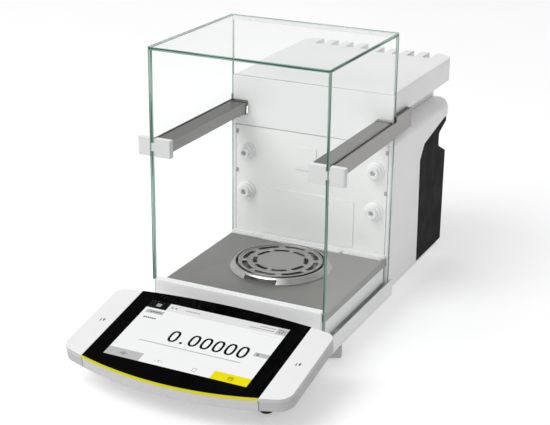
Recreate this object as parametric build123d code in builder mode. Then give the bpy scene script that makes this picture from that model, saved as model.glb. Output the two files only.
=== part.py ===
"""Analytical balance with a glass draft shield, built as separate pieces.

Frame: +X to the right, +Y to the back, +Z up.  The balance stands on z = 0 and the origin is
the centre of its footprint.  All sizes are millimetres.
"""
import os
from math import cos, radians, sin

from build123d import *

os.makedirs("parts", exist_ok=True)

# ------------------------------------------------------------------ driving sizes
# draft shield
shield_width = 192.0        # outside of the two side doors
shield_depth = 174.4        # front pane's face to the rear pane's back
shield_top = 308.0          # top of the sliding roof pane
glass = 3.0                 # thickness of every pane
slide_gap = 0.4             # clearance beside a sliding pane or rail
rest_gap = 0.3              # clearance under a piece that lifts or slides off its seat

# reach in front of and behind the front pane's face
display_reach = 149.0
rear_reach = 370.0
front = (display_reach - rear_reach) / 2

# base
base_bottom = 14.5
base_floor = 5.0            # thickness of the cast floor
sill_top = 33.4
sill_lip = 1.4              # how far the sill stands out past the panes
sill_rebate = 2.0           # depth of the rebate in which the side panes run, behind the lip
sill_depth = 184.0
sill_corner = 6.0
cover_top = 66.5            # top of the front cover, which carries the front pane
cover_flange = 8.0
pane_seat_lip = 0.8         # how far the front cover stands out past the front pane
pane_seat_depth = 1.2       # depth of the front pane's seat in the front cover
plastic_wall = 3.0
edge_round = 0.6

# weighing chamber floor
floor_top = 60.5
sheet = 2.0
floor_flange = 8.0
stem_hole_radius = 16.0
skirt_half = 90.0

# pan
pan_radius = 45.0
pan_from_front = 103.1
pan_top = 66.3
pan_rim = 1.4
pan_rim_height = 0.8
pan_sheet = 1.6
pan_hub_radius = 9.0
pin_radius = 4.0
pin_clearance = 0.3
ring_gap = 2.6              # open gap between the pan and the draft ring
ring_sheet = 1.4
ring_flare = 5.1            # how much wider the ring's foot is than its top
ring_cutout_angle = 41.0
ring_bridge = 1.6           # metal left over the ring's two windows

# rear housing
housing_bottom = 20.0
shell_top = 195.0
module_bottom = 216.5
housing_top = 242.5
shell_reach = 362.0
cover_reach = 356.0
panel_seam = 0.7            # open seam around the removable back panel
wall_split = 187.2          # joint between the upper wall and the removable back panel
vent_count = 8
vent_pitch = 19.2
vent_width = 9.6
vent_length = 27.0

# side doors
rail_top = 213.8
rail_shelf = 11.5           # thickness of the rail's inner shelf
rail_flange_bottom = 196.5
rail_width = 17.6           # width of the shelf that stands inside the chamber
rail_lip = 1.6              # metal outside the glass
pane_split_low = 201.5      # top of the lower pane
pane_split_high = 210.5     # bottom of the upper pane
door_travel = 150.0
rail_tail = 44.0            # how far the outer flange runs on behind the panes
handle_depth = 6.6
handle_reach = 16.5         # grip outside the panes

# display unit
display_tilt = 11.0
display_half = 120.5
display_glass_half = 93.3
display_glass_height = 114.6
display_z = 39.6            # height of the display glass's lower corners
display_bow = 13.5          # forward bow of the lower edge at the middle
display_crown = 5.4         # backward bow of the upper edge at the middle
accent_width = 1.2
accent_height = 2.4
display_glass_sheet = 3.0
display_thickness = 13.5
wing_thickness = 4.0
screen_width = 151.8
screen_height = 93.3
screen_from_edge = 10.3
bar_thickness = 3.0
bar_seam = 0.4              # open seam at each end of the front bar
wing_edge_round = 1.0
screen_recess = 0.8
screen_sheet = 0.7
shell_floor = 2.5
wing_corner_low = 15.0
wing_corner_high = 11.0
hinge_from_front = -46.0
hinge_z = 29.0
hinge_pin_radius = 2.5
hinge_clearance = 0.08

# feet
knob_side = 27.0            # the screw feet's square knobs
knob_corner = 4.0
knob_turn = 25.0
knob_height = 12.0
pad_radius = 11.0
pad_height = 1.5
stud_radius = 4.0
stud_clearance = 0.08
foot_boss = 14.0            # depth of the threaded hole over each front foot
foot_boss_radius = 9.0
front_foot_x = 82.0
front_foot_from_front = 46.0
rear_foot_x = 56.0
rear_foot_from_front = 332.0
rear_foot_radius = 12.0

# screws
screw_head_radius = 3.6
screw_head_height = 1.6
screw_recess_radius = 1.2
screw_recess_depth = 0.9

# weigh cell
cell_half = 28.0
cell_from_front = 188.0
cell_length = 102.0
cell_top = 72.0
cell_pad_half = 26.0
cell_pad_depth = 18.0
cell_pad_inset = 22.0

# ------------------------------------------------------------------ derived places
outer = shield_width / 2                    # outside of the side panes
inner = outer - glass                       # inside of the side panes
housing_half = inner - slide_gap            # housing passes between the open panes
sill_half = outer + sill_lip
base_wall = sill_half - housing_half - 0.2     # the rear shell's sides stand just inside it
sill_back = front + sill_depth
housing_front = front + shield_depth - glass + 1.0
housing_back = front + rear_reach
shell_back = front + shell_reach
cover_back = front + cover_reach
shield_back = front + shield_depth
pan_y = front + pan_from_front
roof_bottom = shield_top - glass
pane_top = roof_bottom - rest_gap
rail_inner = inner - slide_gap - rail_width
rail_front = front + glass + slide_gap + handle_depth
rail_back = housing_front - 6.0
core_half = rail_inner - slide_gap - 1.0
pan_bottom = pan_top - pan_sheet
ring_inner = pan_radius + ring_gap
cell_front = front + cell_from_front
cell_back = cell_front + cell_length
knob_bottom = pad_height
front_foot_y = front + front_foot_from_front
panel_half = housing_half - plastic_wall - panel_seam


def block(x, y, z, mode=Mode.ADD):
    """Add or cut a box that spans the given ranges of x, y and z."""
    with Locations(((x[0] + x[1]) / 2, (y[0] + y[1]) / 2, (z[0] + z[1]) / 2)):
        Box(x[1] - x[0], y[1] - y[0], z[1] - z[0], mode=mode)


def beside(sign, near, far):
    """Range of x between two distances from the middle, on the side given by sign."""
    return tuple(sorted((sign * near, sign * far)))


SIDES = (("left", -1), ("right", 1))

# ================================================================== base and feet
rear_floor_half = housing_half - plastic_wall - 0.3
rear_floor_back = cover_back - plastic_wall - 0.3
rear_rim_top = housing_bottom + 6.0
cell_pad_top = base_bottom + base_floor + 8.0

with BuildPart() as base_frame:
    block((-sill_half, sill_half), (front, sill_back), (base_bottom, sill_top))
    fillet(base_frame.edges().filter_by(Axis.Z).group_by(Axis.Y)[0], sill_corner)
    fillet(base_frame.edges().group_by(Axis.Z)[-1], edge_round)
    block((-rear_floor_half, rear_floor_half), (sill_back, rear_floor_back), (base_bottom, rear_rim_top))
    block(
        (base_wall - sill_half, sill_half - base_wall),
        (front + base_wall, sill_back - base_wall),
        (base_bottom + base_floor, sill_top),
        mode=Mode.SUBTRACT,
    )
    block(
        (base_wall - rear_floor_half, rear_floor_half - base_wall),
        (sill_back - 2 * base_wall, rear_floor_back - base_wall),
        (base_bottom + base_floor, sill_top),
        mode=Mode.SUBTRACT,
    )
    for _, sign in SIDES:
        block(beside(sign, inner - slide_gap, outer + rest_gap), (front + glass, sill_back + 1),
              (sill_top - sill_rebate, sill_top + 1), mode=Mode.SUBTRACT)
    # slots that take the front ends of the rear shell's sides
    for _, sign in SIDES:
        block(beside(sign, rear_floor_half, housing_half + 0.2), (housing_front - 0.3, sill_back + 1),
              (housing_bottom - 0.3, sill_top + 1), mode=Mode.SUBTRACT)
    # pads for the weigh cell and bosses for the levelling studs
    for pad_y in (cell_front + cell_pad_inset, cell_back - cell_pad_inset):
        block((-cell_pad_half, cell_pad_half), (pad_y, pad_y + cell_pad_depth),
              (base_bottom + base_floor, cell_pad_top))
    with Locations([(s * front_foot_x, front_foot_y, base_bottom) for _, s in SIDES]):
        Cylinder(foot_boss_radius, foot_boss, align=(Align.CENTER, Align.CENTER, Align.MIN))
    with Locations([(s * front_foot_x, front_foot_y, base_bottom + foot_boss) for _, s in SIDES]):
        Hole(stud_radius + stud_clearance, depth=foot_boss)
base_frame.part.label = "base_frame"
export_step(base_frame.part, "parts/base_frame.step")

stem_top = base_bottom + foot_boss - 0.7
for side, sign in SIDES:
    foot_spot = (sign * front_foot_x, front_foot_y)
    with BuildPart() as foot_knob:
        with BuildSketch(Plane.XY.offset(knob_bottom)):
            with Locations(foot_spot):
                RectangleRounded(knob_side, knob_side, knob_corner, rotation=knob_turn)
                Circle(stud_radius + stud_clearance, mode=Mode.SUBTRACT)
        extrude(amount=knob_height)
        for face in foot_knob.faces().filter_by(Axis.Z):
            fillet(face.outer_wire().edges(), 2 * edge_round)
    foot_knob.part.label = f"{side}_foot_knob"
    export_step(foot_knob.part, f"parts/{side}_foot_knob.step")

    # the pad and its threaded stem move up and down as the knob turns
    with BuildPart() as foot_pad:
        with Locations((*foot_spot, 0)):
            Cylinder(pad_radius, pad_height, align=(Align.CENTER, Align.CENTER, Align.MIN))
        chamfer(foot_pad.edges().group_by(Axis.Z)[0], 0.5)
        with Locations((*foot_spot, pad_height)):
            Cylinder(stud_radius, stem_top - pad_height, align=(Align.CENTER, Align.CENTER, Align.MIN))
    foot_pad.part.label = f"{side}_foot_pad"
    export_step(foot_pad.part, f"parts/{side}_foot_pad.step")

with BuildPart() as rear_feet:
    with Locations([(s * rear_foot_x, front + rear_foot_from_front, 0) for _, s in SIDES]):
        Cylinder(rear_foot_radius, base_bottom, align=(Align.CENTER, Align.CENTER, Align.MIN))
    chamfer(rear_feet.edges().group_by(Axis.Z)[0], 1.0)
rear_feet.part.label = "rear_feet"
export_step(rear_feet.part, "parts/rear_feet.step")

base_screw_inset = 12.0
base_screw_rows = (14.0, 90.0)      # from the sill's back
base_screw_spots = [
    (s * (rear_floor_half - base_screw_inset), sill_back + row) for _, s in SIDES for row in base_screw_rows
]
with BuildPart() as base_screws:
    with Locations([(x, y, base_bottom - screw_head_height) for x, y in base_screw_spots]):
        Cylinder(screw_head_radius, screw_head_height, align=(Align.CENTER, Align.CENTER, Align.MIN))
        Cylinder(screw_recess_radius, screw_recess_depth, align=(Align.CENTER, Align.CENTER, Align.MIN),
                 mode=Mode.SUBTRACT)
base_screws.part.label = "base_screws"
export_step(base_screws.part, "parts/base_screws.step")

# ================================================================== chamber floor
with BuildPart() as front_cover:
    block((-housing_half, housing_half), (front - pane_seat_lip, front + plastic_wall), (sill_top, cover_top))
    block((-housing_half, housing_half), (front, front + cover_flange), (cover_top - plastic_wall, cover_top))
    fillet(front_cover.edges().filter_by(Axis.X).group_by(Axis.Z)[-1], 0.5)
    # seat of the front pane
    block((-housing_half, housing_half), (front, front + glass), (cover_top - pane_seat_depth, cover_top + 1),
          mode=Mode.SUBTRACT)
front_cover.part.label = "front_cover"
export_step(front_cover.part, "parts/front_cover.step")

floor_half = inner - slide_gap - 1.0
floor_front = front + cover_flange + 0.6
floor_back = housing_front - 0.5
flange_bottom = floor_top - floor_flange
skirt_wall = 2.5
skirt_back = housing_front - 3.0
with BuildPart() as chamber_skirt:
    for _, sign in SIDES:
        block(beside(sign, skirt_half - skirt_wall, skirt_half), (front + plastic_wall, skirt_back),
              (sill_top, flange_bottom - rest_gap))
        block(beside(sign, skirt_half - 3 * skirt_wall, skirt_half - skirt_wall),
              (front + plastic_wall, skirt_back), (sill_top, floor_top - sheet))
    block((-skirt_half, skirt_half), (front + plastic_wall, front + 2 * plastic_wall),
          (sill_top, flange_bottom - rest_gap))
chamber_skirt.part.label = "chamber_skirt"
export_step(chamber_skirt.part, "parts/chamber_skirt.step")

with BuildPart() as floor_plate:
    block((-floor_half, floor_half), (floor_front, floor_back), (floor_top - sheet, floor_top))
    for _, sign in SIDES:
        block(beside(sign, floor_half - sheet, floor_half), (floor_front, floor_back),
              (flange_bottom, floor_top))
        fillet(floor_plate.edges().filter_by(Axis.Y).group_by(Axis.Z)[-1].sort_by(Axis.X)[sign // 2], 1.2)
    with Locations((0, pan_y, floor_top)):
        Hole(stem_hole_radius, depth=sheet)
floor_plate.part.label = "floor_plate"
export_step(floor_plate.part, "parts/floor_plate.step")

trim_back = housing_front - 0.3
trim_depth = 5.5
trim_height = 3.2
trim_inset = 1.0
strip_height = 2.0
# low strips in front of the trim: left end, right end and depth behind their front
strips = ((trim_inset - floor_half, -53.0, 3.0), (-52.0, 41.0, 4.5), (44.0, floor_half - 3 * trim_inset, 3.0))
with BuildPart() as rear_trims:
    block((trim_inset - floor_half, floor_half - trim_inset), (trim_back - trim_depth, trim_back),
          (floor_top, floor_top + trim_height))
    for left, right, depth in strips:
        block((left, right), (trim_back - trim_depth - depth, trim_back - trim_depth - rest_gap),
              (floor_top, floor_top + strip_height))
rear_trims.part.label = "rear_trims"
export_step(rear_trims.part, "parts/rear_trims.step")

# ================================================================== pan and draft ring
pan_plane = Plane(origin=(0, pan_y, 0), x_dir=(1, 0, 0), z_dir=(0, -1, 0))
pan_axis = Axis((0, pan_y, 0), (0, 0, 1))
hub_bottom = floor_top - 1.5
pan_slot_count = 8
# two rings of slots: share of the pan's radius, angle, width and turn
pan_slots = ((0.85, 28.0, 5.4, 0.0), (0.61, 26.0, 4.8, 22.5))
with BuildPart() as pan:
    with BuildSketch(Plane.XY.offset(pan_bottom)):
        with Locations((0, pan_y)):
            Circle(pan_radius)
            for share, angle, width, turn in pan_slots:
                with PolarLocations(0, pan_slot_count, start_angle=turn):
                    arc = CenterArc((0, 0), share * pan_radius, -angle / 2, angle)
                    SlotArc(arc, width, mode=Mode.SUBTRACT)
    extrude(amount=pan_sheet)
    with BuildSketch(Plane.XY.offset(pan_top)):
        with Locations((0, pan_y)):
            Circle(pan_radius)
            Circle(pan_radius - pan_rim, mode=Mode.SUBTRACT)
    extrude(amount=pan_rim_height)
    fillet(pan.edges().group_by(Axis.Z)[-1], 0.35)
    with BuildSketch(Plane.XY.offset(hub_bottom)):
        with Locations((0, pan_y)):
            Circle(pan_hub_radius)
            Circle(pin_radius + pin_clearance, mode=Mode.SUBTRACT)
    extrude(amount=pan_bottom - hub_bottom)
pan.part.label = "pan"
export_step(pan.part, "parts/pan.step")

arm_top = 47.0
arm_height = 7.0
support_foot_radius = 10.0
support_radius = 7.5
support_cone = 4.0
pin_cone = 1.5
with BuildPart() as pan_support:
    with BuildSketch(pan_plane):
        with BuildLine():
            Polyline(
                (0, arm_top), (support_foot_radius, arm_top), (support_radius, arm_top + support_cone),
                (support_radius, hub_bottom - rest_gap), (pin_radius, hub_bottom - rest_gap),
                (pin_radius, pan_bottom - rest_gap - pin_cone),
                (pin_radius - pin_cone, pan_bottom - rest_gap), (0, pan_bottom - rest_gap),
                close=True,
            )
        make_face()
    revolve(axis=pan_axis)
pan_support.part.label = "pan_support"
export_step(pan_support.part, "parts/pan_support.step")

ring_foot = floor_top + rest_gap
with BuildPart() as draft_ring:
    with BuildSketch(pan_plane):
        with BuildLine():
            Polyline(
                (ring_inner, pan_top), (ring_inner + ring_sheet, pan_top),
                (ring_inner + ring_sheet + ring_flare, ring_foot), (ring_inner + ring_flare, ring_foot),
                close=True,
            )
        make_face()
    revolve(axis=pan_axis)
    # one window at the front and one at the back
    window_half = (ring_inner + ring_flare) * sin(radians(ring_cutout_angle / 2))
    block((-window_half, window_half), (pan_y - 2 * ring_inner, pan_y + 2 * ring_inner),
          (ring_foot, pan_top - ring_bridge), mode=Mode.SUBTRACT)
draft_ring.part.label = "draft_ring"
export_step(draft_ring.part, "parts/draft_ring.step")

# ================================================================== weigh cell
cell_middle = (cell_front + cell_back) / 2
slot_length = 80.0
slot_width = 7.0
slot_heights = (36.0, 62.0)
heart = (58.0, 9.0)                 # length and height of the opening between the slots
fork_x = (-20.0, 14.0)
fork_sheet = 6.0
fork_height = 10.0
fork_inset = (32.0, 8.0)            # front and back of the fork, ahead of the cell's back
load_arm_half = 9.0
load_arm_end = 12.0
arm_bottom = arm_top - arm_height
with BuildPart() as load_arm:
    block((-load_arm_half, load_arm_half), (pan_y, cell_front), (arm_bottom, arm_top))
    with Locations((0, pan_y, arm_bottom)):
        Cylinder(load_arm_end, arm_height, align=(Align.CENTER, Align.CENTER, Align.MIN))
load_arm.part.label = "load_arm"
export_step(load_arm.part, "parts/load_arm.step")

with BuildPart() as load_cell:
    block((-cell_half, cell_half), (cell_front, cell_back), (cell_pad_top, cell_top))
    # two long slots with round ends leave the thin flexures of the guide
    with BuildSketch(Plane.YZ.offset(-cell_half)):
        with Locations(*[(cell_middle, z) for z in slot_heights]):
            SlotOverall(slot_length, slot_width)
        with Locations((cell_middle, sum(slot_heights) / 2)):
            Rectangle(*heart)
    extrude(amount=2 * cell_half, mode=Mode.SUBTRACT)
    # fork that takes the adjustment weight
    for x0 in fork_x:
        block((x0, x0 + fork_sheet), (cell_back - fork_inset[0], cell_back - fork_inset[1]),
              (cell_top, cell_top + fork_height))
load_cell.part.label = "load_cell"
export_step(load_cell.part, "parts/load_cell.step")

weight_radius = 7.0
weight_half = 24.0
weight_rest = 1.6                   # rest height of the weight over the fork
weight_y = cell_back - sum(fork_inset) / 2
weight_z = cell_top + fork_height + weight_radius + weight_rest
weight_low = weight_z - weight_radius
with BuildPart() as adjustment_weight:
    with BuildSketch(Plane.YZ.offset(-weight_half)):
        with Locations((weight_y, weight_z)):
            Circle(weight_radius)
    extrude(amount=2 * weight_half)
adjustment_weight.part.label = "adjustment_weight"
export_step(adjustment_weight.part, "parts/adjustment_weight.step")

lift_back = cell_back + 16
lifter_half = 11.0
prong = 3.0
prong_height = 4.0
prong_reach = 9.0
lifter_drop = 14.0
with BuildPart() as weight_lifter:
    for x0 in (-lifter_half, lifter_half - prong):
        block((x0, x0 + prong), (weight_y - prong_reach, lift_back), (weight_low - prong_height, weight_low))
    block((-lifter_half, lifter_half), (lift_back - prong_height, lift_back),
          (weight_low - lifter_drop, weight_low))
weight_lifter.part.label = "weight_lifter"
export_step(weight_lifter.part, "parts/weight_lifter.step")

motor_half = 9.0
motor_depth = 18.0
motor_z = (60.0, 92.0)
motor_stand_half = 14.0
motor_front = lift_back + rest_gap
with BuildPart() as lift_motor:
    block((-motor_half, motor_half), (motor_front, motor_front + motor_depth), motor_z)
    block((-motor_stand_half, motor_stand_half), (motor_front + 2, motor_front + motor_depth - 2),
          (base_bottom + base_floor, motor_z[0]))
lift_motor.part.label = "lift_motor"
export_step(lift_motor.part, "parts/lift_motor.step")

hood_sheet = 1.5                    # the hood over the cell and its motor
hood_half = cell_half + 8
hood_front = cell_front - 6
hood_back = lift_back + 26
hood_top = weight_z + weight_radius + 8
hood_window_half = 13.0
hood_bottom = base_bottom + base_floor
with BuildPart() as cell_cover:
    block((-hood_half, hood_half), (hood_front, hood_back), (hood_bottom, hood_top))
    block((hood_sheet - hood_half, hood_half - hood_sheet), (hood_front + hood_sheet, hood_back - hood_sheet),
          (hood_bottom, hood_top - hood_sheet), mode=Mode.SUBTRACT)
    block((-hood_window_half, hood_window_half), (hood_front - 1, hood_front + 2), (hood_bottom, arm_top + 5),
          mode=Mode.SUBTRACT)
cell_cover.part.label = "cell_cover"
export_step(cell_cover.part, "parts/cell_cover.step")

# ================================================================== rear housing
# side outline of the dark back cover: a sloping upper edge and a hand grip cut across the back
grip_low = 132.0
grip_high = 165.0
grip_depth = 25.0
grip_slope = 6.0
grip_round = 4.0
back_cover_front = front + 268
front_lean = 4.0            # the cover's front edge leans back towards the bottom
corner_z = (144.0, 160.0)   # bevel of the upper front corner
corner_depth = 12.0
corner_round = 10.0
slope_z = (171.0, 175.0)    # sloping upper edge, at the grip and at the back
back_step = 2.0
cover_round = 1.2
window_x = 70.0             # half width of the plate behind the socket window
window_z = (38.0, 62.0)
window_margin = 3.0
cover_edge = [
    (back_cover_front + front_lean, housing_bottom),
    (back_cover_front, corner_z[0]),
    (back_cover_front + corner_depth, corner_z[1]),
    (cover_back - grip_depth, slope_z[0]),
    (cover_back - back_step, slope_z[1]),
]
with BuildSketch(Plane.YZ) as back_outline:
    with BuildLine():
        Polyline(
            *cover_edge,
            (cover_back - back_step, grip_high + grip_slope / 2),
            (cover_back - grip_depth, grip_high - grip_slope),
            (cover_back - grip_depth, grip_low + 2 * grip_slope),
            (cover_back, grip_low),
            (cover_back, housing_bottom),
            close=True,
        )
    make_face()
    fillet(back_outline.vertices().sort_by(Axis.X)[0], corner_round)
    fillet(back_outline.vertices().filter_by_position(Axis.Y, grip_low + grip_slope, grip_high - 1)
           .filter_by_position(Axis.X, cover_back - grip_depth - 1, cover_back - grip_depth + 1), grip_round)

with BuildPart() as back_cover:
    with BuildSketch(Plane.YZ.offset(-housing_half)):
        add(back_outline.sketch_local)
    extrude(amount=2 * housing_half)
    fillet(back_cover.faces().filter_by(Axis.X).edges(), cover_round)
    with BuildSketch(Plane.YZ.offset(plastic_wall - housing_half)):
        add(back_outline.sketch_local)
        offset(amount=-plastic_wall, mode=Mode.REPLACE)
    extrude(amount=2 * (housing_half - plastic_wall), mode=Mode.SUBTRACT)
    # open towards the inside of the housing and underneath
    block((plastic_wall - housing_half, housing_half - plastic_wall),
          (back_cover_front - 1, back_cover_front + 30), (housing_bottom - 1, corner_z[0] - 4),
          mode=Mode.SUBTRACT)
    block((plastic_wall - housing_half, housing_half - plastic_wall),
          (back_cover_front - 1, cover_back - plastic_wall), (housing_bottom - 1, housing_bottom + 8),
          mode=Mode.SUBTRACT)
    block((window_margin - window_x, window_x - window_margin),
          (cover_back - plastic_wall - 1, cover_back + 1), window_z, mode=Mode.SUBTRACT)
back_cover.part.label = "back_cover"
export_step(back_cover.part, "parts/back_cover.step")

shell_round = 12.0
with BuildPart() as rear_shell:
    block((-housing_half, housing_half), (housing_front, shell_back), (housing_bottom, shell_top))
    fillet(rear_shell.edges().filter_by(Axis.Y).group_by(Axis.Z)[-1], shell_round)
    fillet(rear_shell.edges().filter_by(Axis.Z).group_by(Axis.Y)[-1], shell_round / 2)
    block((plastic_wall - housing_half, housing_half - plastic_wall),
          (housing_front - 1, shell_back - plastic_wall),
          (housing_bottom, shell_top - shell_round), mode=Mode.SUBTRACT)
    block((shell_round - housing_half, housing_half - shell_round),
          (housing_front - 1, shell_back - plastic_wall),
          (housing_bottom, shell_top - plastic_wall), mode=Mode.SUBTRACT)
    # open front, where the back panel and the upper wall stand
    block((plastic_wall - housing_half, housing_half - plastic_wall),
          (housing_front - 1, housing_front + plastic_wall + 0.3),
          (housing_bottom, wall_split - 0.2), mode=Mode.SUBTRACT)
    block((-housing_half, housing_half), (housing_front - 1, housing_front + plastic_wall + 0.3),
          (wall_split - 0.2, shell_top), mode=Mode.SUBTRACT)
    # everything that the dark cover takes, and all behind it
    with BuildSketch(Plane.YZ.offset(-housing_half)):
        with BuildLine():
            Polyline(*cover_edge, (shell_back, slope_z[1] + 1), (shell_back, housing_bottom), close=True)
        make_face()
    extrude(amount=2 * housing_half, mode=Mode.SUBTRACT)
rear_shell.part.label = "rear_shell"
export_step(rear_shell.part, "parts/rear_shell.step")

vent_centres = [(i - (vent_count - 1) / 2) * vent_pitch for i in range(vent_count)]
module_corner = 18.0
module_round = 1.5
groove_low = 198.5          # the openings in the upper wall for the door rails
groove_high = 215.0
core_back = shell_back - 4
vent_front = housing_back - vent_length
with BuildPart() as top_housing:
    block((-housing_half, housing_half), (housing_front, housing_back), (module_bottom, housing_top))
    fillet(top_housing.edges().filter_by(Axis.Z).group_by(Axis.Y)[-1], module_corner)
    top_edges = top_housing.edges().group_by(Axis.Z)[-1]
    fillet(top_edges.filter_by_position(Axis.Y, housing_front + 1, housing_back), module_round)
    # core between the two side grooves, and the upper wall at the front
    block((-core_half, core_half), (housing_front, core_back), (shell_top, module_bottom))
    block((-housing_half, housing_half), (housing_front, housing_front + plastic_wall),
          (wall_split, groove_low))
    block((slide_gap - rail_inner, rail_inner - slide_gap), (housing_front, housing_front + plastic_wall),
          (groove_low, groove_high))
    block((-housing_half, housing_half), (housing_front, housing_front + plastic_wall),
          (groove_high, module_bottom))
    # hollow inside, open towards the lower housing
    block((plastic_wall - core_half, core_half - plastic_wall),
          (housing_front + plastic_wall, core_back - plastic_wall), (shell_top, module_bottom),
          mode=Mode.SUBTRACT)
    block((plastic_wall - housing_half, housing_half - plastic_wall),
          (housing_front + plastic_wall, vent_front - plastic_wall),
          (module_bottom + plastic_wall, housing_top - plastic_wall), mode=Mode.SUBTRACT)
    block((plastic_wall - core_half, core_half - plastic_wall),
          (housing_front + plastic_wall, vent_front - plastic_wall),
          (module_bottom - 1, module_bottom + plastic_wall), mode=Mode.SUBTRACT)
    for x in vent_centres:
        block((x - vent_width / 2, x + vent_width / 2), (vent_front, housing_back + 1),
              (module_bottom + plastic_wall, housing_top + 1), mode=Mode.SUBTRACT)
top_housing.part.label = "top_housing"
export_step(top_housing.part, "parts/top_housing.step")

# ================================================================== removable back panel
panel_bottom = floor_top - 3.0
plug_spots = [(s * 75.3, z) for _, s in SIDES for z in (112.0, 157.0)]
plug_flange = 10.5
plug_reach = 9.0
plug_hole = 3.2
plug_hole_depth = 6.0
plug_neck = 5.0
# outline of a plug ahead of the panel: radius and distance from the panel's face
plug_outline = [
    (plug_flange, 0), (plug_flange, -1.2), (8.6, -2.4), (8.2, -4.4), (6.2, -5.0), (5.8, -plug_reach)
]
# raised plates: centre, then width, height and corner
raised_plates = (((-2.5, 92.5), (109.0, 53.0, 3.0)), ((-4.0, 158.5), (25.0, 26.0, 2.0)))
plate_rise = 0.8
panel_face = housing_front
with BuildPart() as back_panel:
    block((-panel_half, panel_half), (panel_face, panel_face + plastic_wall),
          (panel_bottom, wall_split - panel_seam))
    with BuildSketch(Plane.XZ.offset(-panel_face)):
        for centre, size in raised_plates:
            with Locations(centre):
                RectangleRounded(*size)
    extrude(amount=plate_rise)
    with Locations([Plane(origin=(x, panel_face + plastic_wall, z), x_dir=(1, 0, 0), z_dir=(0, 1, 0))
                    for x, z in plug_spots]):
        Hole(plug_neck + rest_gap, depth=plastic_wall)
back_panel.part.label = "back_panel"
export_step(back_panel.part, "parts/back_panel.step")

with BuildPart() as port_plugs:
    for x, z in plug_spots:
        with BuildSketch(Plane(origin=(x, panel_face, z), x_dir=(1, 0, 0), z_dir=(0, 0, 1))):
            with BuildLine():
                Polyline(
                    (0, plastic_wall), (plug_neck, plastic_wall), (plug_neck, 0), *plug_outline,
                    (0, -plug_reach), close=True,
                )
            make_face()
        revolve(axis=Axis((x, panel_face, z), (0, 1, 0)))
        with BuildSketch(Plane(origin=(x, panel_face - plug_reach, z), x_dir=(1, 0, 0), z_dir=(0, -1, 0))):
            RegularPolygon(plug_hole, 6)
        extrude(amount=-plug_hole_depth, mode=Mode.SUBTRACT)
port_plugs.part.label = "port_plugs"
export_step(port_plugs.part, "parts/port_plugs.step")

clip_width = 2.6
clip_half = 2.2
clip_z = (134.0, 179.0)
with BuildPart() as panel_clips:
    for _, sign in SIDES:
        for z in clip_z:
            block(beside(sign, panel_half - clip_width, panel_half), (panel_face - plate_rise, panel_face),
                  (z - clip_half, z + clip_half))
panel_clips.part.label = "panel_clips"
export_step(panel_clips.part, "parts/panel_clips.step")

# ================================================================== fixed panes and roof pane
with BuildPart() as front_glass:
    block((-outer, outer), (front, front + glass), (cover_top - pane_seat_depth, pane_top))
    chamfer(front_glass.edges().filter_by(Axis.Z), 0.4)
front_glass.part.label = "front_glass"
export_step(front_glass.part, "parts/front_glass.step")

guide_height = 3.4
guide_top = 1.2             # thickness of the roof guide over the rear pane
with BuildPart() as rear_glass:
    block((-housing_half, housing_half), (shield_back - glass, shield_back),
          (housing_top, pane_top - guide_top))
rear_glass.part.label = "rear_glass"
export_step(rear_glass.part, "parts/rear_glass.step")

with BuildPart() as roof_guide:
    block((-housing_half, housing_half), (shield_back - glass - 1, shield_back + 1),
          (pane_top - guide_height, pane_top))
    block((-housing_half, housing_half), (shield_back - glass, shield_back),
          (pane_top - guide_height, pane_top - guide_top), mode=Mode.SUBTRACT)
roof_guide.part.label = "roof_guide"
export_step(roof_guide.part, "parts/roof_guide.step")

with BuildPart() as roof_glass:
    block((-outer, outer), (front, shield_back), (roof_bottom, shield_top))
    chamfer(roof_glass.edges().filter_by(Axis.Z), 0.4)
roof_glass.part.label = "roof_glass"
export_step(roof_glass.part, "parts/roof_glass.step")

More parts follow.
